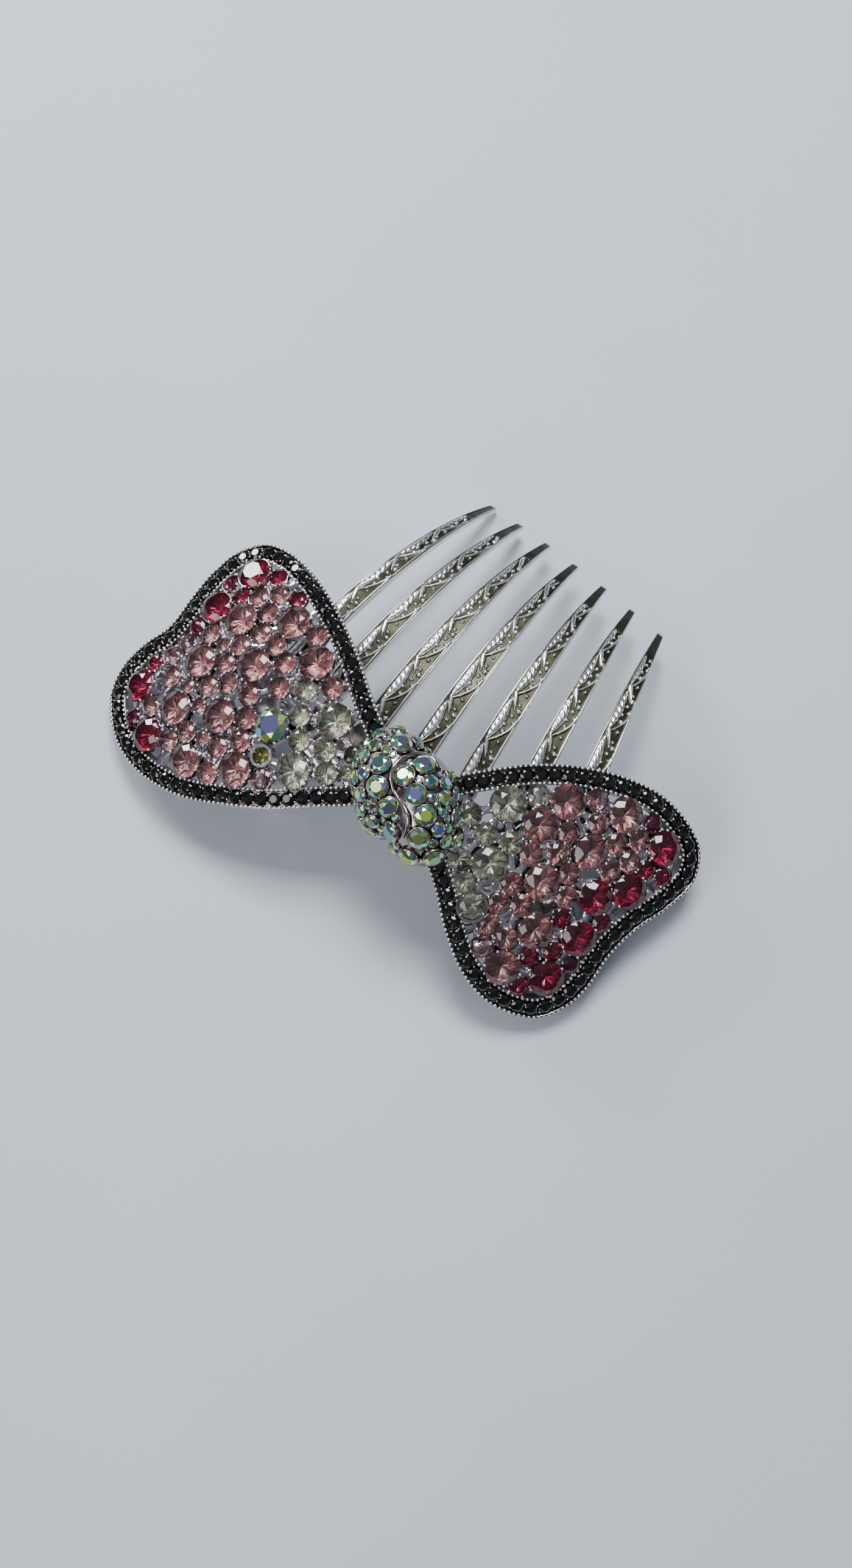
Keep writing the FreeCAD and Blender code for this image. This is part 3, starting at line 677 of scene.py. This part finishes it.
def rim_row(side, outline):
    """Black stones all round a rim, with a pair of small brass prongs between neighbours."""
    line, inward = smooth_outline(outline, 1440)
    path = line + inward * (RIM_WIDTH / 2)
    stones = []
    prongs = Builder()
    travelled = JET_PITCH
    for (x, y), (x_before, y_before) in zip(path[1:], path):
        here, before = on_dome(x, y, 0.1), on_dome(x_before, y_before, 0.1)
        travelled += np.linalg.norm(here - before)
        hidden = abs(x - NECK_MIDDLE) < NECK_HIDDEN
        if travelled < JET_PITCH or hidden:
            continue
        travelled = 0.0
        up = (here - dome_centre) / np.linalg.norm(here - dome_centre)
        stones.append((here, up, JET_RADIUS))
        along = (here - before) / np.linalg.norm(here - before)
        across = np.cross(up, along)
        for sign in (-1, 1):
            spot = here + along * (JET_PITCH / 2) + across * (0.50 * sign) + up * 0.46
            ball(prongs, spot, 0.15, 5, 8, 1.0, up)
    set_stones(side + "_rim_cut", "jet", stones, 0.02, [side + "_rim_stones"])
    prongs.make(side + "_rim_prongs", [BRASS], smooth=True)


rim_row("left", LEFT_OUTLINE)
rim_row("right", RIGHT_OUTLINE)

# ---- Knot --------------------------------------------------------------------------------------

low, high = (np.array(corner) * 1000.0 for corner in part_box("knot"))
knot_heart = np.array([(low[0] + high[0]) / 2, (low[1] + high[1]) / 2, low[2] - 1.0])
KNOT_BACK = 0.03
STONE_DROP = 0.06
knot_cups = Builder()
knot_stones = []


def knot_cup(centre, axis, radius):
    profile = [
        (radius + 0.01, 0.25 * radius), (radius + 0.02, 0.42 * radius), (radius + 0.06, 0.44 * radius),
        (radius + 0.11, 0.30 * radius), (radius + 0.16, -0.35), (radius * 0.7, -0.35),
    ]
    lathe(knot_cups, centre, axis, profile)


for name in sorted(n for n in nodes if n.startswith("knot_aurora")):
    read = read_stones(name, knot_heart)
    stones = [(centre - axis * STONE_DROP, axis, radius) for centre, axis, radius in read]
    set_stones(name + "_cut", "aurora", stones, KNOT_BACK, [name])
    knot_stones += stones

LIP_LINE = [(5.4, 4.1), (3.2, 4.7), (1.2, 3.2), (0.9, 0.6), (2.6, -1.3), (5.2, -2.3), (7, -5)]
lip = np.array([
    np.array(a) + (np.array(b) - np.array(a)) * share
    for a, b in zip(LIP_LINE, LIP_LINE[1:]) for share in np.linspace(0, 1, 8)
])
mesh = nodes["knot"].data
candidates = []
for polygon in mesh.polygons:
    spot, facing = np.array(polygon.center) * 1000.0, np.array(polygon.normal)
    flat = in_bow(spot)
    outward = facing @ (spot - knot_heart) > 0 and facing[2] > 0.05
    if outward and flat[2] > 1.6 and np.linalg.norm(lip - flat[:2], axis=1).min() > 1.25:
        candidates.append((spot, facing))
fillers = []
while True:
    taken = knot_stones + fillers
    centres = np.array([s[0] for s in taken])
    radii = np.array([s[2] for s in taken])
    rooms = [(np.linalg.norm(centres - spot, axis=1) - radii).min() for spot, _ in candidates]
    widest = int(np.argmax(rooms))
    if rooms[widest] < 0.42:
        break
    spot, facing = candidates[widest]
    fillers.append((spot + facing * 0.05, facing, min(rooms[widest] - 0.05, 0.95)))
set_stones("knot_aurora_filler_cut", "aurora", fillers, KNOT_BACK, [])
for centre, axis, radius in knot_stones + fillers:
    knot_cup(centre, axis, radius)
knot_cups.make("knot_stone_cups", [KNOT_SILVER], smooth=True)

# ---- Teeth -------------------------------------------------------------------------------------


def hump(distance, width):
    """A rounded hump of height 1 where distance is less than width."""
    return np.sqrt(np.clip(1 - (distance / width) ** 2, 0, 1))


def relief(u, v, half, length, phase):
    """Height of the embossing, 0 to 1: leafy edge band, thorns, a winding stem, beads and edge lines."""
    period = 7.3
    s = np.mod((v + phase) / period, 1.0)
    band_width = 0.40 * np.clip(np.sin(math.pi * (s - 0.06) / 0.88), 0, 1) ** 0.6
    height = hump(u + 0.52 + 0.10 * np.cos(2 * math.pi * s), np.maximum(band_width, 0.02))
    scallop = np.abs(np.sin(math.pi * (v + 0.9 * (u + 0.5) * half) / 0.92))
    height = height * (0.74 + 0.26 * scallop)
    wrapped = np.where(s > 0.5, s - 1.0, s)
    across = (u + 0.66) * half
    along = (wrapped - 0.10) * period
    reach = (across * 0.44 - along * 0.90) / 2.7
    off = across * 0.90 + along * 0.44
    grown = np.clip(reach, 0, 1)
    thorn = hump(off, np.maximum(0.88 * np.sqrt(grown) * (1 - grown), 0.02))
    height = np.maximum(height, np.where((reach > 0) & (reach < 1), thorn, 0))
    q = np.clip((s - 0.04) / 0.60, 0, 1)
    stem = -0.50 + 1.30 * (1 - (1 - q) ** 2)
    on_stem = (s > 0.04) & (s < 0.64)
    height = np.maximum(height, np.where(on_stem, 0.85 * hump((u - stem) * half, 0.17), 0))
    for du, ds, size in (
        (0.20, 0.33, 0.26), (0.02, 0.46, 0.22), (0.52, 0.80, 0.34), (0.30, 0.90, 0.22), (0.36, 0.12, 0.20),
        (0.60, 0.56, 0.18), (0.22, 0.66, 0.24),
    ):
        spot = np.sqrt(((u - du) * half) ** 2 + ((s - ds) * period) ** 2)
        height = np.maximum(height, 0.9 * hump(spot, size))
    height = height * np.clip((length - 4.6 - v) / 1.0, 0, 1)
    edge = np.maximum(hump(u - 0.88, 0.10), hump(u + 0.93, 0.06))
    return np.maximum(height, 0.55 * edge)


RELIEF_HEIGHT = 0.40
teeth = Builder()
relief_values = []
for i in range(TOOTH_COUNT):
    place = i - (TOOTH_COUNT - 1) / 2
    root = COMB_SHIFT + TOOTH_ROOT_SPAN / (TOOTH_COUNT - 1) * place
    tip = COMB_SHIFT + TOOTH_TIP_SPAN / (TOOTH_COUNT - 1) * place
    length = TOOTH_TIP_Y + TOOTH_TIP_STEP * place - TOOTH_ROOT_Y
    across = np.linspace(-1, 1, 41)
    share = np.linspace(0.0, 1.0, 420)
    u, t = np.meshgrid(across, share)
    middle = root + (tip - root) * t + TOOTH_BOW * 4 * t * (1 - t)
    half = (TOOTH_ROOT_WIDTH + (TOOTH_TIP_WIDTH - TOOTH_ROOT_WIDTH) * t) / 2
    half = half + TOOTH_BELLY * 4 * t * (1 - t)
    height = relief(u, t * length, half, length, 1.9 * i)
    lift = 0.02 + RELIEF_HEIGHT * height * np.minimum(1.0, half / 1.2)
    lift = np.where(np.abs(u) > 0.99, -0.08, lift)
    lift[0] = -0.08
    lift[-1] = -0.08
    faces = []
    for a in range(len(share) - 1):
        for b in range(len(across) - 1):
            k = a * len(across) + b
            faces.append((k, k + 1, k + 1 + len(across), k + len(across)))
    teeth.add(on_comb(middle + u * half, TOOTH_ROOT_Y + t * length, lift), faces)
    relief_values.append(height.ravel())


def embossed_silver():
    """Bright raised relief over darker, greenish recesses, the recess darkening being painted shade."""
    material, tree, shader = new_material("tooth_embossed_silver")
    shader.inputs["Metallic"].default_value = 1.0
    value = tree.nodes.new("ShaderNodeAttribute")
    value.attribute_name = "relief"
    raised = span(tree, value.outputs["Fac"], 0.0, 1.0, 0.15, 0.6)
    patches = noise(tree, 500.0)
    bright = ramp(tree, patches, [(0.35, (0.84, 0.82, 0.76)), (0.65, (0.97, 0.97, 0.94))])
    # Painted shade: the recesses of the embossing take a near-black colour.
    deep = ramp(tree, patches, [(0.35, (0.035, 0.035, 0.025)), (0.65, (0.09, 0.085, 0.06))])
    tree.links.new(blend_colours(tree, raised, deep, bright), shader.inputs["Base Color"])
    tree.links.new(span(tree, value.outputs["Fac"], 0.40, 0.24, 0.1, 0.7), shader.inputs["Roughness"])
    bump(tree, shader, noise(tree, 1100.0, 4.0, 0.6), 0.3, 0.0001)
    return material


tooth_skin = teeth.make("comb_tooth_relief", [embossed_silver()], smooth=True)
attribute = tooth_skin.data.attributes.new("relief", "FLOAT", "POINT")
attribute.data.foreach_set("value", np.concatenate(relief_values))

# ---- Carried-over nodes --------------------------------------------------------------------------

for name, material in (
    ("comb", COMB_SILVER), ("knot", KNOT_SILVER), ("olive_bezel", BEAD_SILVER), ("clear_bezel", KNOT_SILVER),
    ("left_solder", SOLDER), ("centre_solder", SOLDER), ("right_solder", SOLDER),
):
    for holder in nodes[name].material_slots:
        holder.material = material

# ---- Floor, light and camera -----------------------------------------------------------------------


def pale_floor():
    material, tree, shader = new_material("pale_floor")
    tone = ramp(tree, noise(tree, 6.0), [(0.3, (0.54, 0.58, 0.65)), (0.7, (0.60, 0.64, 0.71))])
    tree.links.new(tone, shader.inputs["Base Color"])
    tree.links.new(span(tree, noise(tree, 60.0), 0.55, 0.7), shader.inputs["Roughness"])
    return material


bpy.ops.mesh.primitive_plane_add(size=3.0, location=(0, 0, -0.0002))
floor = bpy.context.object
floor.name = "floor"
floor.data.materials.append(pale_floor())


def softbox(name, azimuth, elevation, size, power, colour):
    """A soft lamp half a metre from the comb, in the given direction."""
    data = bpy.data.lights.new(name, "AREA")
    data.shape = "RECTANGLE"
    data.size, data.size_y = size
    data.energy = power
    data.color = colour
    lamp = bpy.data.objects.new(name, data)
    az, el = math.radians(azimuth), math.radians(elevation)
    lamp.location = Vector((math.cos(az) * math.cos(el), math.sin(az) * math.cos(el), math.sin(el))) * 0.5
    lamp.rotation_euler = (-lamp.location).to_track_quat("-Z", "Y").to_euler()
    bpy.context.scene.collection.objects.link(lamp)


softbox("window", 168, 26, (0.11, 0.08), 1.1, (0.95, 0.98, 1.0))
softbox("overhead", 118, 62, (0.22, 0.18), 2.8, (0.97, 0.98, 1.0))
softbox("front_fill", -108, 44, (0.30, 0.20), 1.0, (1.0, 0.98, 0.96))

world = bpy.data.worlds.new("studio")
bpy.context.scene.world = world
world.use_nodes = True
sky = world.node_tree
background = sky.nodes["Background"]
place = sky.nodes.new("ShaderNodeTexCoord")
parts = sky.nodes.new("ShaderNodeSeparateXYZ")
sky.links.new(place.outputs["Generated"], parts.inputs[0])
sky.links.new(
    ramp(
        sky, parts.outputs["Z"],
        [(0.0, (0.08, 0.09, 0.11)), (0.5, (0.22, 0.25, 0.30)), (1.0, (0.50, 0.55, 0.62))],
    ),
    background.inputs["Color"],
)
background.inputs["Strength"].default_value = 0.6

AZIMUTH, ELEVATION, FOCAL, DISTANCE = 35.9, 74.0, 2300.0, 180.1
CENTRE_RIGHT, CENTRE_DOWN = -63.2, -16.0
az, el = math.radians(AZIMUTH), math.radians(ELEVATION)
backward = np.array([math.sin(az) * math.cos(el), -math.cos(az) * math.cos(el), math.sin(el)])
right = np.array([math.cos(az), math.sin(az), 0.0])
upward = np.cross(backward, right)
eye = crown + DISTANCE * (backward - CENTRE_RIGHT / FOCAL * right + CENTRE_DOWN / FOCAL * upward)
camera_data = bpy.data.cameras.new("camera")
camera_data.lens = 36.0 * FOCAL / 2576.0
camera_data.sensor_width = 36.0
camera_data.clip_start = 0.01
camera = bpy.data.objects.new("camera", camera_data)
basis = Matrix((right, upward, backward)).transposed().to_4x4()
camera.matrix_world = Matrix.Translation(Vector(eye / 1000.0)) @ basis
bpy.context.scene.collection.objects.link(camera)
bpy.context.scene.camera = camera
